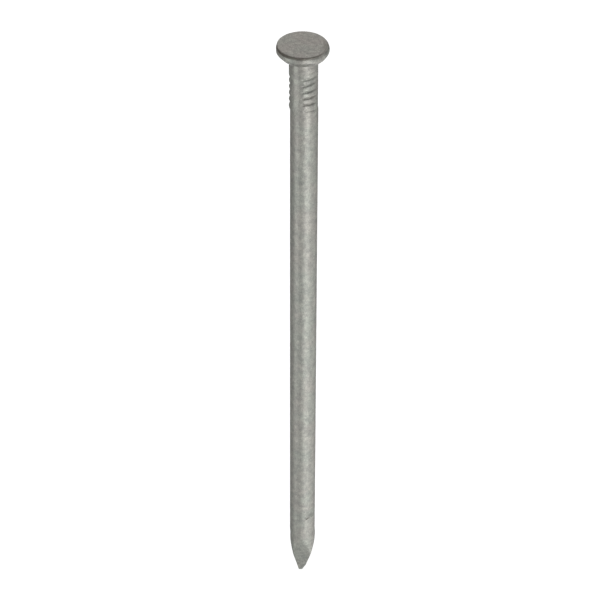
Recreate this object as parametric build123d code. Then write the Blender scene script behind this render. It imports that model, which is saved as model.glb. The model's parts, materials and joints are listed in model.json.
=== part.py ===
from build123d import *
import math
import os

# A galvanised round wire nail, 150 mm long, of 6 mm wire that the zinc makes a little thicker.
# It is one piece of steel wire: the head is upset from it, the grip marks are pressed by the
# dies that hold the wire while the head is struck, and the point is pinched by four cutters.
# A thin skin of zinc covers all of it, inside the same outline.
# +Z runs along the shank towards the head; the middle of the head's top face is the origin.

# ---- Driving dimensions, in millimetres and degrees --------------------------------------
SHANK_DIAMETER = 6.1
OVERALL_LENGTH = 152.0
ZINC_THICKNESS = 0.06

# The head's outline, from the flat top over the rim and the shoulder to the neck. Each depth
# is counted down from the top face, and each edge has its own radius.
HEAD_DIAMETER = 11.4
HEAD_TOP_DIAMETER = 10.9
TOP_EDGE_RADIUS = 0.3
RIM_START = 0.75
RIM_END = 1.5
RIM_EDGE_RADIUS = 0.6
SHOULDER_DIAMETER = 9.8
SHOULDER_DEPTH = 2.55
SHOULDER_RADIUS = 1.5
NECK_DEPTH = 3.6
HEAD_OFFSET = -0.35

GRIP_DIAMETER = 6.26
GRIP_OFFSET = -0.17
GRIP_END = 15.4
GRIP_RUNOUT = 0.9
GRIP_PITCH = 1.53
GRIP_GROOVE_TOOL_RADIUS = 0.45
GRIP_HALF_SPREAD = 55.0
# One row of grooves per die: the azimuth of its middle, counted from -Y towards +X, the
# distance of its first groove below the head's top face, the number of grooves and their depth.
GRIP_ROWS = ((50.0, 5.75, 7, 0.2), (230.0, 8.1, 5, 0.36))

POINT_LENGTH = 11.2
POINT_TIP_WIDTH = 0.6
POINT_TIP_OFFSET = -0.3

# One slanting nick on the side, a little above the point.
NICK_FROM_TOP = 132.55
NICK_AZIMUTH = 43.0
NICK_HALF_SPREAD = 32.0
NICK_DEPTH = 0.15
NICK_TOOL_RADIUS = 0.25
NICK_TILT = 7.0

# How far the head's cone reaches into the wire, so that the two join as one solid.
BURIED_STEP = 0.6
# How far above the start of the point the four-sided taper begins, outside the shank.
TAPER_RISE = 10.0

STEEL_COLOUR = (0.42, 0.42, 0.43)
ZINC_COLOUR = (0.62, 0.63, 0.61)


def around_axis(azimuth):
    """The unit vector that points away from the nail's axis at an azimuth."""
    angle = math.radians(azimuth)
    return Vector(math.sin(angle), -math.cos(angle), 0)


def head(inset):
    """The head, turned about its own axis, which stands a little off the shank's axis."""
    rim_radius = 0.5 * HEAD_DIAMETER
    neck_radius = 0.5 * GRIP_DIAMETER
    slope = (0.5 * SHOULDER_DIAMETER - neck_radius) / (NECK_DEPTH - SHOULDER_DEPTH)
    buried_radius = neck_radius - BURIED_STEP
    buried_depth = NECK_DEPTH + BURIED_STEP / slope
    corners = [
        (0, 0),
        (0.5 * HEAD_TOP_DIAMETER, 0),
        (rim_radius, -RIM_START),
        (rim_radius, -RIM_END),
        (0.5 * SHOULDER_DIAMETER, -SHOULDER_DEPTH),
        (buried_radius, -buried_depth),
    ]
    radii = [TOP_EDGE_RADIUS, RIM_EDGE_RADIUS, RIM_EDGE_RADIUS, SHOULDER_RADIUS]
    with BuildSketch(Plane.XZ) as section:
        with BuildLine():
            FilletPolyline(*corners, radius=radii)
            Polyline(corners[-1], (0, -buried_depth), corners[0])
        make_face()
        mirror(about=Plane.YZ)
        if inset > 0:
            offset(amount=-inset, kind=Kind.INTERSECTION, mode=Mode.REPLACE)
        split(bisect_by=Plane.YZ, keep=Keep.TOP)
    return Pos(HEAD_OFFSET, 0, 0) * revolve(section.sketch, axis=Axis.Z)


def shank(inset):
    """The wire from inside the head to the tip, before the grooves and the facets."""
    radius = 0.5 * SHANK_DIAMETER - inset
    grip_radius = 0.5 * GRIP_DIAMETER - inset
    plain_top = GRIP_END + GRIP_RUNOUT
    grip_height = GRIP_END - RIM_END
    plain_height = OVERALL_LENGTH - plain_top
    down = (Align.CENTER, Align.CENTER, Align.MAX)
    grip = Pos(GRIP_OFFSET, 0, -RIM_END) * Cylinder(grip_radius, grip_height, align=down)
    plain = Pos(0, 0, -plain_top) * Cylinder(radius, plain_height, align=down)
    runout = loft([
        Pos(GRIP_OFFSET, 0, -GRIP_END) * Circle(grip_radius),
        Pos(0, 0, -plain_top) * Circle(radius),
    ])
    return grip + runout + plain


def point_envelope(inset):
    """The four-sided taper that the shank is trimmed to, open far above the point."""
    half_tip = 0.5 * POINT_TIP_WIDTH
    slope = (0.5 * SHANK_DIAMETER - half_tip) / POINT_LENGTH
    normal_inset = inset * math.hypot(1.0, slope)
    start_depth = OVERALL_LENGTH - POINT_LENGTH
    top = TAPER_RISE - start_depth
    top_side = SHANK_DIAMETER + 2 * slope * TAPER_RISE - 2 * normal_inset
    tip_side = POINT_TIP_WIDTH - 2 * normal_inset + 2 * slope * inset
    top_shift = -POINT_TIP_OFFSET * TAPER_RISE / POINT_LENGTH
    taper = loft([
        Pos(top_shift, 0, top) * Rectangle(top_side, top_side),
        Pos(POINT_TIP_OFFSET, 0, inset - OVERALL_LENGTH) * Rectangle(tip_side, tip_side),
    ], ruled=True)
    room_side = 2 * HEAD_DIAMETER
    up = (Align.CENTER, Align.CENTER, Align.MIN)
    room_for_the_rest = Pos(0, 0, top) * Box(room_side, room_side, OVERALL_LENGTH, align=up)
    return taper + room_for_the_rest


def fading_ring(surface_radius, depth, tool_radius, half_spread, azimuth, inset):
    """A ring set off the axis, whose groove is deepest at its azimuth and fades out sideways."""
    ring_offset = depth / (1.0 - math.cos(math.radians(half_spread)))
    ring_radius = surface_radius - depth + ring_offset + tool_radius
    centre = around_axis(azimuth) * -ring_offset
    return Pos(centre.X, centre.Y, 0) * Torus(ring_radius, tool_radius + inset)


def grip_groove_tools(inset):
    """The cutters of both rows of grip grooves."""
    tools = []
    for azimuth, first_groove, count, depth in GRIP_ROWS:
        ring = fading_ring(0.5 * GRIP_DIAMETER, depth, GRIP_GROOVE_TOOL_RADIUS,
                           GRIP_HALF_SPREAD, azimuth, inset)
        for number in range(count):
            from_top = first_groove + number * GRIP_PITCH
            tools.append(Pos(GRIP_OFFSET, 0, -from_top) * ring)
    return tools


def nick_tool(inset):
    """The cutter of the nick, tilted so that the nick climbs as the azimuth grows."""
    ring = fading_ring(0.5 * SHANK_DIAMETER, NICK_DEPTH, NICK_TOOL_RADIUS,
                       NICK_HALF_SPREAD, NICK_AZIMUTH, inset)
    tilt_axis = around_axis(NICK_AZIMUTH)
    return Pos(0, 0, -NICK_FROM_TOP) * ring.rotate(Axis((0, 0, 0), tilt_axis), NICK_TILT)


def nail(inset):
    """The whole nail, with its surface moved in by the inset all over."""
    body = head(inset) + shank(inset)
    body = body & point_envelope(inset)
    for tool in grip_groove_tools(inset):
        body = body - tool
    return body - nick_tool(inset)


def export_node(name, shape, colour):
    """Write one named piece to its own STEP file."""
    shape.label = name
    shape.color = Color(*colour)
    export_step(shape, os.path.join("parts", name + ".step"))


def main():
    os.makedirs("parts", exist_ok=True)
    outside = nail(0.0)
    steel_core = nail(ZINC_THICKNESS)
    galvanised_coating = outside - steel_core
    export_node("steel_core", steel_core.solid(), STEEL_COLOUR)
    export_node("galvanised_coating", galvanised_coating.solid(), ZINC_COLOUR)


main()
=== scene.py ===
import json
import math

import bpy
import numpy as np
from mathutils import Matrix, Vector, noise


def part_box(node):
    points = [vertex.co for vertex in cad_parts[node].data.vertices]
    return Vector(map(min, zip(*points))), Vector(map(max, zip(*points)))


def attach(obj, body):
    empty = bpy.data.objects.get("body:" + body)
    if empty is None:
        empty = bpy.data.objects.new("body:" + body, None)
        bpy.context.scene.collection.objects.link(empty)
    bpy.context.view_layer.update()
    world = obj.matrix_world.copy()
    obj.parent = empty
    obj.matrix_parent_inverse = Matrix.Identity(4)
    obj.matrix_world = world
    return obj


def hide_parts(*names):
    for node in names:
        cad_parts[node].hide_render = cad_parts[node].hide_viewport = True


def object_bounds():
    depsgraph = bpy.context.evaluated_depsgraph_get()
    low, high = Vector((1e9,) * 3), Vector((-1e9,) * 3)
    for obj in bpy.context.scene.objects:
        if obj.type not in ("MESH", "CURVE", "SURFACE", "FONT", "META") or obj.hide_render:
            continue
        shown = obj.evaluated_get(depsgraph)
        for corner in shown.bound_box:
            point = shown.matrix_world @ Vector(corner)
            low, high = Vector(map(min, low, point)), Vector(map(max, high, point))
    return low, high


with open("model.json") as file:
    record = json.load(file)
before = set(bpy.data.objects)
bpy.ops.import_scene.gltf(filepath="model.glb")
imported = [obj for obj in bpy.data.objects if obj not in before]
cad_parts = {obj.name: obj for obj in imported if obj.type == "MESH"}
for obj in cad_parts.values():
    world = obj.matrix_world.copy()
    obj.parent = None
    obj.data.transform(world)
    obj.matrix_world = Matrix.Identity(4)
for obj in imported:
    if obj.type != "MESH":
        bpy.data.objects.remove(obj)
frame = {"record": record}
cad_low, cad_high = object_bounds()

# The looks of a galvanised round wire nail. Lengths are in millimetres and angles in degrees
# until the meshes are made. Azimuths are counted from -Y, the side the camera is on, towards
# +X, and heights are the row frame's own, with 0 at the head's top face.
MM = 0.001
ZINC_NODE = "galvanised_coating"
STEEL_NODE = "steel_core"


# ---- Sizes taken from the CAD frame ------------------------------------------------------

def find_mount(name):
    """The record's mount of that name."""
    return next(m for m in frame["record"]["mounts"] if m["name"] == name)


zinc_low, zinc_high = (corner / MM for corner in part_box(ZINC_NODE))
steel_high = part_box(STEEL_NODE)[1] / MM
shank_mount = find_mount("shank")
SHANK_RADIUS = shank_mount["dims"]["r_mm"]
SHANK_MIDDLE_Z = shank_mount["pos_m"][2] / MM
PLAIN_TOP_Z = SHANK_MIDDLE_Z + 0.5 * shank_mount["dims"]["length_mm"]
POINT_Z = SHANK_MIDDLE_Z - 0.5 * shank_mount["dims"]["length_mm"]
TIP_Z = zinc_low.z
HEAD_X = 0.5 * (zinc_low.x + zinc_high.x)
HEAD_RADIUS = 0.5 * (zinc_high.x - zinc_low.x)
ZINC_THICKNESS = zinc_high.z - steel_high.z

# ---- Shape of the head -------------------------------------------------------------------
RIM_RADIUS = HEAD_RADIUS
TOP_EDGE_STEP = 0.17
TOP_EDGE_RADIUS = 0.2
RIM_START_Z = -0.75
RIM_END_Z = -1.5
RIM_EDGE_RADIUS = 0.6
SHOULDER_RADIUS = 4.9
SHOULDER_Z = -2.55
SHOULDER_EDGE_RADIUS = 1.5
NECK_Z = -3.52
NECK_FILLET = 0.35
# The head was struck a little askew: its left side stands higher.
HEAD_TILT = 0.3
# How far the uneven zinc is kept in from the CAD model's top face and rim.
RIM_ALLOWANCE = 0.036
# Where the top face rolls off before its edge: the azimuth and the half spread of each roll,
# how far in from the rim it starts, how far it drops, and how crisp the fold is at its start.
RIGHT_ROLL = (92.0, 36.0, 1.6, 0.36, 1.15)
LEFT_ROLL = (-50.0, 34.0, 0.5, 0.3, 2.0)
ROLL_RIPPLE_SPACING = 0.33
ROLL_RIPPLE_HEIGHT = 0.03
# Lumps left by the hammer dies on the side of the head: their size and their height.
SIDE_LUMP_SIZE = 1.7
SIDE_LUMP_HEIGHT = 0.06
# The line of painted shade near the rim: how far in it lies and its half width. On the right it
# lies further in, along the fold, and at the front left it is thickest.
EDGE_LINE_INSET = 0.12
EDGE_LINE_HALF_WIDTH = 0.2
FOLD_LINE_AZIMUTH = 75.0
FOLD_LINE_HALF_SPREAD = 32.0
FOLD_LINE_INSET = 0.5
THICK_SHADE_AZIMUTH = -50.0
THICK_SHADE_HALF_SPREAD = 42.0
# How strong the painted shade is over the rolled-off right rim.
ROLL_PAINTED_SHADE = 0.48

# ---- Shape of the grip zone --------------------------------------------------------------
GRIP_RADIUS = 3.13
GRIP_X = -0.17
GRIP_END_Z = -14.9
GRIP_RUNOUT_Z = -16.3
GRIP_PITCH = 1.54
GRIP_GROOVE_DEPTH = 0.19
# One row of grooves per die: the azimuths where the row begins, is at full depth, starts to
# fade and ends, the half width of a groove, how far the crests between the grooves stand up, the
# height of the first groove, and for each groove its share of the full depth, how far it climbs
# per 60 degrees and how dark the painted shade in it is.
GRIP_ROWS = (
    ((-13.0, 2.0, 34.0, 82.0), 0.25, 0.045, -5.45, (
        (0.3, 0.1, 0.0), (0.75, 0.3, 0.1), (0.9, 0.55, 0.15), (0.9, 0.35, 0.2),
        (0.85, 0.15, 0.5), (0.75, -0.05, 0.45), (0.4, -0.3, 0.2),
    )),
    ((172.0, 205.0, 284.0, 302.0), 0.42, 0.0, -8.35, (
        (1.5, 0.35, 0.2), (2.1, 0.35, 0.3), (2.0, 0.35, 0.3), (2.1, 0.35, 0.6), (1.9, 0.35, 0.5),
    )),
)

# ---- Shape of the point ------------------------------------------------------------------
# Each facet stands a width from the axis at the tip, and slopes out from there.
FACET_SLOPE = 0.244
FACET_EDGE_SHARPNESS = 30.0
TIP_HALF_DEPTH = 0.3
TIP_LEFT = 0.79
LEFT_SLOPE = 0.214
TIP_RIGHT = 0.35
RIGHT_SLOPE = 0.262
TIP_CUT = -0.08
TIP_CUT_SLOPE = 0.47
TIP_ROUNDING = 0.3

# ---- One nick above the point ------------------------------------------------------------
# It climbs steeply at its left end, and less and less towards its right end.
NICK_START = (12.0, -132.8)
NICK_END = (75.0, -132.15)
NICK_DEPTH = 0.24
NICK_HALF_WIDTH = 0.17
NICK_LIP_HEIGHT = 0.15
# Each lip's distance from the middle of the nick and its half width.
NICK_UPPER_LIP = (0.45, 0.26)
NICK_LOWER_LIP = (0.4, 0.22)

# ---- Unevenness of the zinc --------------------------------------------------------------
WAVE_SIZE = 7.0
WAVE_HEIGHT = 0.01
MOTTLE_SIZE = 1.3
MOTTLE_HEIGHT = 0.014

# ---- Fineness of the meshes --------------------------------------------------------------
COLUMNS = 120
HEAD_STEP = 0.1
GRIP_STEP = 0.11
SHANK_STEP = 0.45
POINT_STEP = 0.13
# How far the pole at the tip stands below its last ring, and the air left round the core.
POLE_DROP = 0.01
CORE_GAP = 0.005


# ---- Small mathematical helpers ----------------------------------------------------------

def smoothstep(start, end, value):
    """0 before start, 1 after end, and an even S between."""
    t = np.clip((value - start) / (end - start), 0.0, 1.0)
    return t * t * (3.0 - 2.0 * t)


def bell(distance, half_width):
    """1 at no distance, falling softly to nothing a few half widths away."""
    return np.exp(-((distance / half_width) ** 2))


def turn_between(azimuth, other):
    """The angle from one azimuth to another, between -180 and 180."""
    return (azimuth - other + 180.0) % 360.0 - 180.0


def soft_minimum(values, sharpness):
    """The least of several positive arrays, with the corners between them rounded."""
    return sum(v ** -sharpness for v in values) ** (-1.0 / sharpness)


def rough_field(points, cell, octaves, seed):
    """Smooth 3-D noise of about -1 to 1 with features about one cell large."""
    offset = Vector((17.3 * seed, -9.1 * seed, 5.7 * seed))
    flat = points.reshape(-1, 3) / cell
    values = [noise.fractal(Vector(p) + offset, 1.0, 2.0, octaves) for p in flat]
    return np.array(values).reshape(points.shape[:-1])


def rounded_path(corners, radii, step):
    """Points no more than about a step apart along straight runs joined by tangent arcs."""
    corners = [np.array(c, float) for c in corners]
    path = [corners[0]]

    def run_to(end):
        start = path[-1]
        count = max(1, math.ceil(np.linalg.norm(end - start) / step))
        path.extend(start + (end - start) * k / count for k in range(1, count + 1))

    for before, corner, after, radius in zip(corners, corners[1:], corners[2:], radii):
        back = (before - corner) / np.linalg.norm(before - corner)
        ahead = (after - corner) / np.linalg.norm(after - corner)
        turn = math.pi - math.acos(float(back @ ahead))
        middle = (back + ahead) / np.linalg.norm(back + ahead)
        centre = corner + middle * radius / math.cos(turn / 2)
        first = corner + back * radius * math.tan(turn / 2)
        side = math.copysign(1.0, back[1] * ahead[0] - back[0] * ahead[1])
        run_to(first)
        count = max(2, math.ceil(radius * turn / step))
        for k in range(1, count + 1):
            angle = side * turn * k / count
            spoke = first - centre
            path.append(centre + np.array((
                spoke[0] * math.cos(angle) - spoke[1] * math.sin(angle),
                spoke[0] * math.sin(angle) + spoke[1] * math.cos(angle),
            )))
    run_to(corners[-1])
    return np.array(path)


def levels(*stretches):
    """Heights from top to bottom, each stretch given as its start, its end and its step."""
    parts = []
    for start, end, step in stretches:
        count = max(1, math.ceil((start - end) / step))
        parts.append(start + (end - start) * np.arange(count) / count)
    return np.concatenate(parts)


# ---- The nail's surface ------------------------------------------------------------------

def ring_outline(coarseness):
    """Radius and height of each ring of the turned shape, from near the middle of the top
    face down to the tip, and how many of the rings belong to the head."""
    corners = [
        (0.0, 0.0),
        (RIM_RADIUS - TOP_EDGE_STEP, 0.0),
        (RIM_RADIUS, RIM_START_Z),
        (RIM_RADIUS, RIM_END_Z),
        (SHOULDER_RADIUS, SHOULDER_Z),
        (GRIP_RADIUS, NECK_Z),
        (GRIP_RADIUS, NECK_Z - 0.8),
    ]
    radii = [TOP_EDGE_RADIUS, RIM_EDGE_RADIUS, RIM_EDGE_RADIUS, SHOULDER_EDGE_RADIUS, NECK_FILLET]
    head = rounded_path(corners, radii, HEAD_STEP * coarseness)[1:]
    nick_top = NICK_END[1] + 1.0
    nick_bottom = NICK_START[1] - 1.0
    heights = levels(
        (head[-1, 1] - 0.1, PLAIN_TOP_Z, GRIP_STEP * coarseness),
        (PLAIN_TOP_Z, nick_top, SHANK_STEP * coarseness),
        (nick_top, nick_bottom, GRIP_STEP * coarseness),
        (nick_bottom, POINT_Z + 1.0, SHANK_STEP * coarseness),
        (POINT_Z + 1.0, TIP_Z + TIP_ROUNDING, POINT_STEP * coarseness),
        (TIP_Z + TIP_ROUNDING, TIP_Z + 0.02, 0.05 * coarseness),
    )
    grip_to_plain = smoothstep(GRIP_END_Z, GRIP_RUNOUT_Z, heights)
    radius = GRIP_RADIUS + (SHANK_RADIUS - GRIP_RADIUS) * grip_to_plain
    below = np.column_stack((radius, heights))
    return np.vstack((head, below)), len(head)


def facet_distances(height):
    """How far the point's facets stand from the axis: left, right, and front and back alike."""
    from_tip = height - TIP_Z
    left = TIP_LEFT + LEFT_SLOPE * from_tip
    straight_right = TIP_RIGHT + RIGHT_SLOPE * from_tip
    cut_right = TIP_CUT + TIP_CUT_SLOPE * from_tip
    right = np.minimum(straight_right, cut_right)
    front = TIP_HALF_DEPTH + FACET_SLOPE * from_tip
    return left, right, front


def edge_roll(radius, height, azimuths):
    """How far the top face drops towards its rim, where it was rolled off."""
    drop = 0.0
    above_rim = np.clip(1.0 - height / RIM_START_Z, 0.0, 1.0)
    from_rim = RIM_RADIUS - radius
    ripple = 0.5 - 0.5 * np.cos(2.0 * math.pi * from_rim / ROLL_RIPPLE_SPACING)
    for azimuth, half_spread, width, full_drop, crispness in (RIGHT_ROLL, LEFT_ROLL):
        share = np.clip(1.0 - from_rim / width, 0.0, 1.0) ** crispness * above_rim
        reach = bell(turn_between(azimuths, azimuth), half_spread)[None, :]
        drop = drop + (full_drop + ROLL_RIPPLE_HEIGHT * ripple) * share * reach
    return drop


def base_surface(outline, azimuths):
    """The nail's surface before any relief, as rings by azimuths by three coordinates."""
    radius, height = outline[:, :1], outline[:, 1:]
    angle = np.radians(azimuths)[None, :]
    east, south = np.sin(angle), np.cos(angle)

    left, right, front = facet_distances(height)
    middle_x = 0.5 * (right - left)
    half_width = 0.5 * (right + left)
    tiny = 1e-6
    reach_x = half_width / np.maximum(np.abs(east), tiny)
    reach_y = front / np.maximum(np.abs(south), tiny)
    limited = soft_minimum([radius + 0 * angle, reach_x, reach_y], FACET_EDGE_SHARPNESS)
    near_point = smoothstep(POINT_Z + 3.0, POINT_Z + 1.0, height)
    reach = radius + (limited - radius) * near_point
    closing = np.clip((height - TIP_Z) / TIP_ROUNDING, 0.0, 1.0)
    reach = reach * np.sqrt(closing * (2.0 - closing))

    grip_x = GRIP_X * (1.0 - smoothstep(GRIP_END_Z, GRIP_RUNOUT_Z, height))
    head_share = smoothstep(NECK_Z - 0.3, SHOULDER_Z, height)
    toward_head = smoothstep(NECK_Z - 0.3, RIM_END_Z, height)
    axis_x = grip_x + (HEAD_X - grip_x) * toward_head + middle_x * near_point
    x = axis_x + reach * east
    y = -reach * south
    z = height - edge_roll(radius, height, azimuths) * head_share

    lean = math.tan(math.radians(HEAD_TILT)) * head_share
    z = z - lean * (x - HEAD_X + HEAD_RADIUS)
    return np.stack((x, y, z), axis=-1)


def surface_normals(surface):
    """Unit normals of a grid of points that closes on itself sideways."""
    along = np.gradient(surface, axis=0)
    around = np.roll(surface, -1, axis=1) - np.roll(surface, 1, axis=1)
    normal = np.cross(along, around)
    length = np.linalg.norm(normal, axis=-1, keepdims=True)
    return normal / np.maximum(length, 1e-12)


def grip_relief(azimuths, height):
    """The pressed grooves: their relief, and how much painted shade darkens each place, 0 to 1."""
    relief = np.zeros((len(height), len(azimuths)))
    painted_shade = np.zeros_like(relief)
    for (begin, full, fade, end), half_width, crest_height, first_z, grooves in GRIP_ROWS:
        azimuth = (azimuths - begin) % 360.0 + begin
        strength = smoothstep(begin, full, azimuth) * (1.0 - smoothstep(fade, end, azimuth))
        strength = strength[None, :]
        top = first_z + GRIP_PITCH
        bottom = first_z - GRIP_PITCH * len(grooves)
        zone = smoothstep(top, top - 0.8, height) * smoothstep(bottom, bottom + 0.8, height)
        relief += crest_height * zone[:, None] * strength
        for number, (share, climb, shade_share) in enumerate(grooves):
            centre_z = first_z - number * GRIP_PITCH + climb * (azimuth - full) / 60.0
            cut = bell(height[:, None] - centre_z[None, :], half_width) * strength
            relief -= (GRIP_GROOVE_DEPTH + crest_height) * cut * share
            # Painted shade in the bottom of each groove, as strong as the groove's given share.
            painted_shade = np.maximum(painted_shade, cut * shade_share)
    return relief, painted_shade


def nick_relief(azimuths, height):
    """The nick and the lips of zinc thrown up beside it: their relief, and the painted shade in the nick."""
    (start, start_z), (end, end_z) = NICK_START, NICK_END
    share = (azimuths - start) / (end - start)
    centre_z = start_z + (end_z - start_z) * (1.0 - (1.0 - np.clip(share, 0.0, 1.0)) ** 5)
    strength = smoothstep(-0.04, 0.1, share) * (1.0 - smoothstep(0.75, 1.05, share))
    above = height[:, None] - centre_z[None, :]
    cut = bell(above, NICK_HALF_WIDTH) * strength
    upper_place, upper_half_width = NICK_UPPER_LIP
    lower_place, lower_half_width = NICK_LOWER_LIP
    upper_lip = bell(above - upper_place, upper_half_width) * strength * (1.0 - smoothstep(0.5, 1.0, share))
    lower_lip = bell(above + lower_place, lower_half_width) * strength
    fading = 1.0 - 0.8 * smoothstep(0.1, 0.55, share)
    depth = NICK_DEPTH * fading
    relief = NICK_LIP_HEIGHT * (upper_lip + 0.35 * lower_lip) - depth * cut
    # The darkening along the nick is painted shade, fading as the nick grows shallow.
    return relief, 0.95 * cut * fading


def rim_painted_shade(radius, height, azimuths):
    """Painted shade along the edge of the top face, thickest at the front left, and thin on the roll."""
    above_rim = smoothstep(RIM_START_Z, 0.5 * RIM_START_Z, height)
    from_fold = turn_between(azimuths, FOLD_LINE_AZIMUTH)
    line_inset = EDGE_LINE_INSET + FOLD_LINE_INSET * bell(from_fold, FOLD_LINE_HALF_SPREAD)
    edge = bell(radius - (RIM_RADIUS - line_inset)[None, :], EDGE_LINE_HALF_WIDTH)
    from_thickest = turn_between(azimuths, THICK_SHADE_AZIMUTH)
    thick = bell(from_thickest, THICK_SHADE_HALF_SPREAD)[None, :]
    azimuth, half_spread, width = RIGHT_ROLL[:3]
    roll = smoothstep(RIM_RADIUS - width, RIM_RADIUS - 0.7 * width, radius)
    on_roll = bell(turn_between(azimuths, azimuth), half_spread)[None, :]
    return above_rim * np.maximum(edge * (0.7 + 0.3 * thick), ROLL_PAINTED_SHADE * roll * on_roll)


def nail_surface(coarseness, inset):
    """The finished surface of the nail, moved in by the inset, and its painted shade, 0 to 1."""
    columns = round(COLUMNS / coarseness)
    azimuths = np.arange(columns) * 360.0 / columns
    outline, head_rings = ring_outline(coarseness)
    radius, height = outline[:, :1], outline[:, 1]
    surface = base_surface(outline, azimuths)
    normals = surface_normals(surface)

    in_head = np.arange(len(height)) < head_rings
    grip, painted_shade = grip_relief(azimuths, np.where(in_head, 0.0, height))
    nick, nick_painted_shade = nick_relief(turn_between(azimuths, 0.0), height)
    top_painted_shade = rim_painted_shade(radius, height[:, None], azimuths)
    waves = WAVE_HEIGHT * rough_field(surface, WAVE_SIZE, 1, seed=1)
    mottle = MOTTLE_HEIGHT * rough_field(surface, MOTTLE_SIZE, 2, seed=2)
    on_side = smoothstep(SHOULDER_Z - 0.5, SHOULDER_Z, height) * smoothstep(0.3, 1.0, -height)
    lumps = SIDE_LUMP_HEIGHT * rough_field(surface, SIDE_LUMP_SIZE, 2, seed=3) * on_side[:, None]
    # The head is as wide and as high as the CAD model's, so its top and rim are kept in a little.
    in_rim = smoothstep(SHOULDER_Z, RIM_END_Z, height)[:, None]
    closing = smoothstep(TIP_Z, TIP_Z + 1.0, height)[:, None]
    relief = (grip + nick + waves + mottle + lumps - RIM_ALLOWANCE * in_rim) * closing
    surface = surface + normals * (relief - inset)[..., None]
    return surface, np.maximum(np.maximum(painted_shade, nick_painted_shade), top_painted_shade)


def wall_faces(rings, columns, first, inward):
    """Quads over one wall's grid of points, with a fan of triangles at each pole."""
    faces = []
    top_index = first + rings * columns
    bottom_index = top_index + 1
    last = first + (rings - 1) * columns
    for column in range(columns):
        after = (column + 1) % columns
        faces.append((first + column, first + after, top_index))
        faces.append((last + after, last + column, bottom_index))
        for row in range(first, last, columns):
            a, b = row + column, row + after
            faces.append((a, a + columns, b + columns, b))
    if inward:
        faces = [face[::-1] for face in faces]
    return faces


def closed_mesh(name, walls):
    """A mesh of closed walls. Each is its grid of points, its painted shade and whether it faces in."""
    points, faces, painted_shade = [], [], []
    for surface, wall_painted_shade, inward in walls:
        rings, columns = surface.shape[:2]
        faces.extend(wall_faces(rings, columns, sum(len(p) for p in points), inward))
        top = surface[0].mean(axis=0)
        bottom = surface[-1].mean(axis=0) - np.array((0.0, 0.0, POLE_DROP))
        points.append(np.vstack((surface.reshape(-1, 3), top, bottom)) * MM)
        painted_shade.append(np.append(wall_painted_shade.ravel(), (0.0, 0.0)))
    mesh = bpy.data.meshes.new(name)
    mesh.from_pydata(np.vstack(points).tolist(), [], faces)
    mesh.validate()
    mesh.shade_smooth()
    # Stores at each point how much painted shade darkens it.
    attribute = mesh.attributes.new("painted_shade", "FLOAT", "POINT")
    attribute.data.foreach_set("value", np.concatenate(painted_shade).astype(np.float32))
    piece = bpy.data.objects.new(name, mesh)
    bpy.context.scene.collection.objects.link(piece)
    return piece


# ---- Materials ---------------------------------------------------------------------------

class Nodes:
    """A few short calls for building one material's node tree."""

    def __init__(self, name):
        self.material = bpy.data.materials.new(name)
        self.material.use_nodes = True
        self.tree = self.material.node_tree
        self.shader = self.tree.nodes["Principled BSDF"]
        place = self.tree.nodes.new("ShaderNodeTexCoord")
        scale = self.tree.nodes.new("ShaderNodeVectorMath")
        scale.operation = "SCALE"
        scale.inputs["Scale"].default_value = 1.0 / MM
        self.link(place.outputs["Object"], scale.inputs[0])
        self.millimetres = scale.outputs[0]

    def link(self, source, target):
        self.tree.links.new(source, target)

    def noise(self, per_mm, detail=3.0, roughness=0.55, stretch=(1, 1, 1)):
        """Noise with a given number of features per millimetre."""
        vector = self.millimetres
        if stretch != (1, 1, 1):
            squeeze = self.tree.nodes.new("ShaderNodeVectorMath")
            squeeze.operation = "MULTIPLY"
            squeeze.inputs[1].default_value = stretch
            self.link(vector, squeeze.inputs[0])
            vector = squeeze.outputs[0]
        texture = self.tree.nodes.new("ShaderNodeTexNoise")
        texture.inputs["Scale"].default_value = per_mm
        texture.inputs["Detail"].default_value = detail
        texture.inputs["Roughness"].default_value = roughness
        self.link(vector, texture.inputs["Vector"])
        return texture.outputs["Fac"]

    def ramp(self, factor, *stops):
        """A colour ramp with (position, colour) stops."""
        node = self.tree.nodes.new("ShaderNodeValToRGB")
        elements = node.color_ramp.elements
        while len(elements) < len(stops):
            elements.new(0.5)
        for element, (position, colour) in zip(elements, stops):
            element.position = position
            element.color = (*colour, 1.0)
        self.link(factor, node.inputs["Fac"])
        return node.outputs["Color"]

    def mix(self, factor, first, second, mode="MIX"):
        """Two colours mixed by a factor, which is a number or an output."""
        node = self.tree.nodes.new("ShaderNodeMix")
        node.data_type = "RGBA"
        node.blend_type = mode
        for value, socket in ((factor, node.inputs[0]), (first, node.inputs[6]), (second, node.inputs[7])):
            if isinstance(value, bpy.types.NodeSocket):
                self.link(value, socket)
            elif isinstance(value, tuple):
                socket.default_value = (*value, 1.0)
            else:
                socket.default_value = value
        return node.outputs[2]

    def span(self, value, low, high, new_low, new_high):
        """A value moved from one range to another."""
        node = self.tree.nodes.new("ShaderNodeMapRange")
        node.inputs["From Min"].default_value = low
        node.inputs["From Max"].default_value = high
        node.inputs["To Min"].default_value = new_low
        node.inputs["To Max"].default_value = new_high
        self.link(value, node.inputs["Value"])
        return node.outputs["Result"]

    def height_mm(self):
        """The height above the head's top face, which is 0."""
        node = self.tree.nodes.new("ShaderNodeSeparateXYZ")
        self.link(self.millimetres, node.inputs[0])
        return node.outputs["Z"]

    def attribute(self, name):
        """A value stored at the mesh's points."""
        node = self.tree.nodes.new("ShaderNodeAttribute")
        node.attribute_name = name
        return node.outputs["Fac"]

    def bump(self, height, distance_mm, strength=1.0, before=None):
        """Fine relief of a given depth, over any relief that comes before it."""
        node = self.tree.nodes.new("ShaderNodeBump")
        node.inputs["Strength"].default_value = strength
        node.inputs["Distance"].default_value = distance_mm * MM
        self.link(height, node.inputs["Height"])
        if before is not None:
            self.link(before, node.inputs["Normal"])
        return node.outputs["Normal"]


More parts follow.
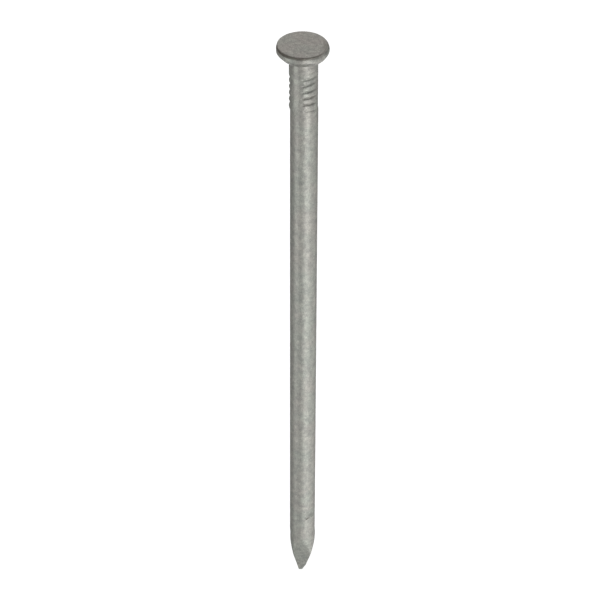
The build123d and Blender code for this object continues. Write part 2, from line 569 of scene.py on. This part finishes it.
def galvanised_zinc():
    """Dull hot-dip zinc: mottled greys, a soft gloss, and brown painted shade in grooves and edges."""
    n = Nodes("galvanised_zinc")
    patches = n.ramp(n.noise(0.22, detail=3.0), (0.38, (0.455, 0.447, 0.414)), (0.62, (0.436, 0.452, 0.412)))
    mottle = n.ramp(n.noise(0.9, detail=5.0), (0.32, (0.81, 0.81, 0.82)), (0.68, (1.15, 1.15, 1.13)))
    speckle = n.ramp(n.noise(5.5, detail=2.0), (0.32, (0.78, 0.78, 0.78)), (0.68, (1.22, 1.22, 1.22)))
    colour = n.mix(1.0, n.mix(1.0, patches, mottle, "MULTIPLY"), speckle, "MULTIPLY")
    worn_top = n.span(n.height_mm(), -0.45, -0.25, 0.0, 1.0)
    colour = n.mix(worn_top, colour, n.mix(1.0, colour, (1.035, 0.985, 0.985), "MULTIPLY"))
    # Painted shade: a dark brown laid where the mesh's stored values say, in the grooves, the nick and along
    # the head's edge.
    shade_colour = n.mix(n.noise(2.5), (0.060, 0.052, 0.040), (0.15, 0.13, 0.10))
    colour = n.mix(n.span(n.attribute("painted_shade"), 0.15, 1.0, 0.0, 0.8), colour, shade_colour)
    n.link(colour, n.shader.inputs["Base Color"])
    n.shader.inputs["Metallic"].default_value = 0.9
    n.link(n.span(n.noise(1.6), 0.3, 0.7, 0.36, 0.48), n.shader.inputs["Roughness"])
    lumps = n.bump(n.noise(1.3, detail=3.0, roughness=0.6), 0.1)
    grain = n.bump(n.noise(5.0, detail=4.0), 0.026, before=lumps)
    n.link(grain, n.shader.inputs["Normal"])
    return n.material


def drawn_steel():
    """Bare mild steel wire, grey, with faint lines along it from drawing."""
    n = Nodes("drawn_steel")
    colour = n.ramp(n.noise(0.8), (0.3, (0.26, 0.26, 0.27)), (0.7, (0.36, 0.36, 0.365)))
    n.link(colour, n.shader.inputs["Base Color"])
    n.shader.inputs["Metallic"].default_value = 1.0
    n.link(n.span(n.noise(2.0, stretch=(1, 1, 0.05)), 0.3, 0.7, 0.3, 0.45), n.shader.inputs["Roughness"])
    lines = n.bump(n.noise(6.0, stretch=(1, 1, 0.03)), 0.01)
    n.link(lines, n.shader.inputs["Normal"])
    return n.material


def nail_wall(coarseness, inset, inward):
    """One wall of the nail, as closed_mesh takes it."""
    return (*nail_surface(coarseness, inset), inward)


def add_piece(name, node, walls, material):
    """One piece of the nail, in place of its CAD node."""
    piece = closed_mesh(name, walls)
    piece.data.materials.append(material)
    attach(piece, "root")
    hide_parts(node)
    return piece


# ---- Stage, light and camera -------------------------------------------------------------
NAIL_MIDDLE = Vector((0.0, 0.0, 0.5 * (cad_low.z + cad_high.z)))
CAMERA_DISTANCE = 0.5269
CAMERA_ELEVATION = 37.46
CAMERA_LENS = 139.03
CAMERA_AIM_Z = -67.55 * MM
CAMERA_SIDESTEP = -0.755 * MM
CAMERA_ROLL = 0.19
SENSOR_WIDTH = 36.0
SOFTBOX_DISTANCE = 0.6

FLOOR_SIDE = 6.0
FLOOR_GLOW = 0.8
BACKDROP_GLOW = 0.97
STUDIO_LIGHT = 0.345


def add_camera():
    """A long lens in front of the nail, looking down on it."""
    elevation = math.radians(CAMERA_ELEVATION)
    aim = Vector((CAMERA_SIDESTEP, 0.0, CAMERA_AIM_Z))
    back = Vector((0.0, -math.cos(elevation), math.sin(elevation)))
    camera = bpy.data.objects.new("camera", bpy.data.cameras.new("camera"))
    camera.data.lens = CAMERA_LENS
    camera.data.sensor_width = SENSOR_WIDTH
    camera.data.clip_start = 0.01
    camera.location = aim + back * CAMERA_DISTANCE
    facing = (-back).to_track_quat("-Z", "Y").to_matrix()
    roll = Matrix.Rotation(math.radians(CAMERA_ROLL), 3, "Z")
    camera.rotation_euler = (facing @ roll).to_euler()
    bpy.context.scene.collection.objects.link(camera)
    bpy.context.scene.camera = camera


def add_floor():
    """A wide white floor under the tip, which only the camera sees, and only from above."""
    half = 0.5 * FLOOR_SIDE
    mesh = bpy.data.meshes.new("floor")
    corners = [(-half, -half, 0), (half, -half, 0), (half, half, 0), (-half, half, 0)]
    mesh.from_pydata(corners, [], [(0, 1, 2, 3)])
    floor = bpy.data.objects.new("floor", mesh)
    floor.location.z = cad_low.z
    bpy.context.scene.collection.objects.link(floor)
    material = bpy.data.materials.new("pale_floor")
    material.use_nodes = True
    tree = material.node_tree
    surface = tree.nodes["Principled BSDF"]
    surface.inputs["Base Color"].default_value = (0.8, 0.8, 0.8, 1.0)
    surface.inputs["Roughness"].default_value = 0.9
    surface.inputs["Emission Color"].default_value = (1.0, 1.0, 1.0, 1.0)
    surface.inputs["Emission Strength"].default_value = FLOOR_GLOW
    path = tree.nodes.new("ShaderNodeLightPath")
    side_seen = tree.nodes.new("ShaderNodeNewGeometry")
    seen = tree.nodes.new("ShaderNodeMath")
    seen.operation = "SUBTRACT"
    seen.use_clamp = True
    clear = tree.nodes.new("ShaderNodeBsdfTransparent")
    blend = tree.nodes.new("ShaderNodeMixShader")
    tree.links.new(path.outputs["Is Camera Ray"], seen.inputs[0])
    tree.links.new(side_seen.outputs["Backfacing"], seen.inputs[1])
    tree.links.new(seen.outputs[0], blend.inputs[0])
    tree.links.new(clear.outputs[0], blend.inputs[1])
    tree.links.new(surface.outputs[0], blend.inputs[2])
    tree.links.new(blend.outputs[0], tree.nodes["Material Output"].inputs["Surface"])
    mesh.materials.append(material)


def add_softbox(name, azimuth, elevation, width, height, brightness):
    """A soft rectangular light facing the nail from an azimuth and an elevation."""
    a, e = math.radians(azimuth), math.radians(elevation)
    away = Vector((math.sin(a) * math.cos(e), -math.cos(a) * math.cos(e), math.sin(e)))
    light = bpy.data.lights.new(name, "AREA")
    light.shape = "RECTANGLE"
    light.size, light.size_y = width, height
    light.energy = brightness * math.pi * width * height
    lamp = bpy.data.objects.new(name, light)
    lamp.location = NAIL_MIDDLE + away * SOFTBOX_DISTANCE
    lamp.rotation_euler = away.to_track_quat("Z", "Y").to_euler()
    lamp.visible_camera = False
    bpy.context.scene.collection.objects.link(lamp)


def add_studio():
    """Soft light from all round, and white beyond the floor where the camera sees it."""
    world = bpy.data.worlds.new("studio")
    world.use_nodes = True
    tree = world.node_tree
    background = tree.nodes["Background"]
    background.inputs["Color"].default_value = (1.0, 1.0, 1.0, 1.0)
    path = tree.nodes.new("ShaderNodeLightPath")
    strength = tree.nodes.new("ShaderNodeMapRange")
    strength.inputs["To Min"].default_value = STUDIO_LIGHT
    strength.inputs["To Max"].default_value = BACKDROP_GLOW
    tree.links.new(path.outputs["Is Camera Ray"], strength.inputs["Value"])
    tree.links.new(strength.outputs["Result"], background.inputs["Strength"])
    bpy.context.scene.world = world


def add_light():
    """Soft studio light: broad strips right and left of the camera, with weaker fills."""
    add_softbox("right_strip", 24, -29, 0.43, 0.76, 0.68)
    add_softbox("right_core", 22, -18, 0.3, 0.34, 0.96)
    add_softbox("left_strip", -59, -21, 0.33, 0.55, 0.83)
    add_softbox("front_fill", -20, -40, 0.3, 0.5, 0.24)
    add_softbox("right_fill", 82, -38, 0.72, 0.6, 0.42)
    add_softbox("low_fill", 66, -60, 0.6, 0.4, 0.3)
    add_softbox("top_light", 180, 30, 0.5, 0.35, 0.47)
    add_softbox("back_strip", 178, -25, 0.35, 0.6, 1.5)
    add_studio()


outside = nail_wall(1, 0.0, inward=False)
lining = nail_wall(2, ZINC_THICKNESS, inward=True)
core = nail_wall(2, ZINC_THICKNESS + CORE_GAP, inward=False)
add_piece("zinc_skin", ZINC_NODE, [outside, lining], galvanised_zinc())
add_piece("steel_body", STEEL_NODE, [core], drawn_steel())
add_floor()
add_light()
add_camera()
bpy.context.scene.view_settings.view_transform = "Standard"
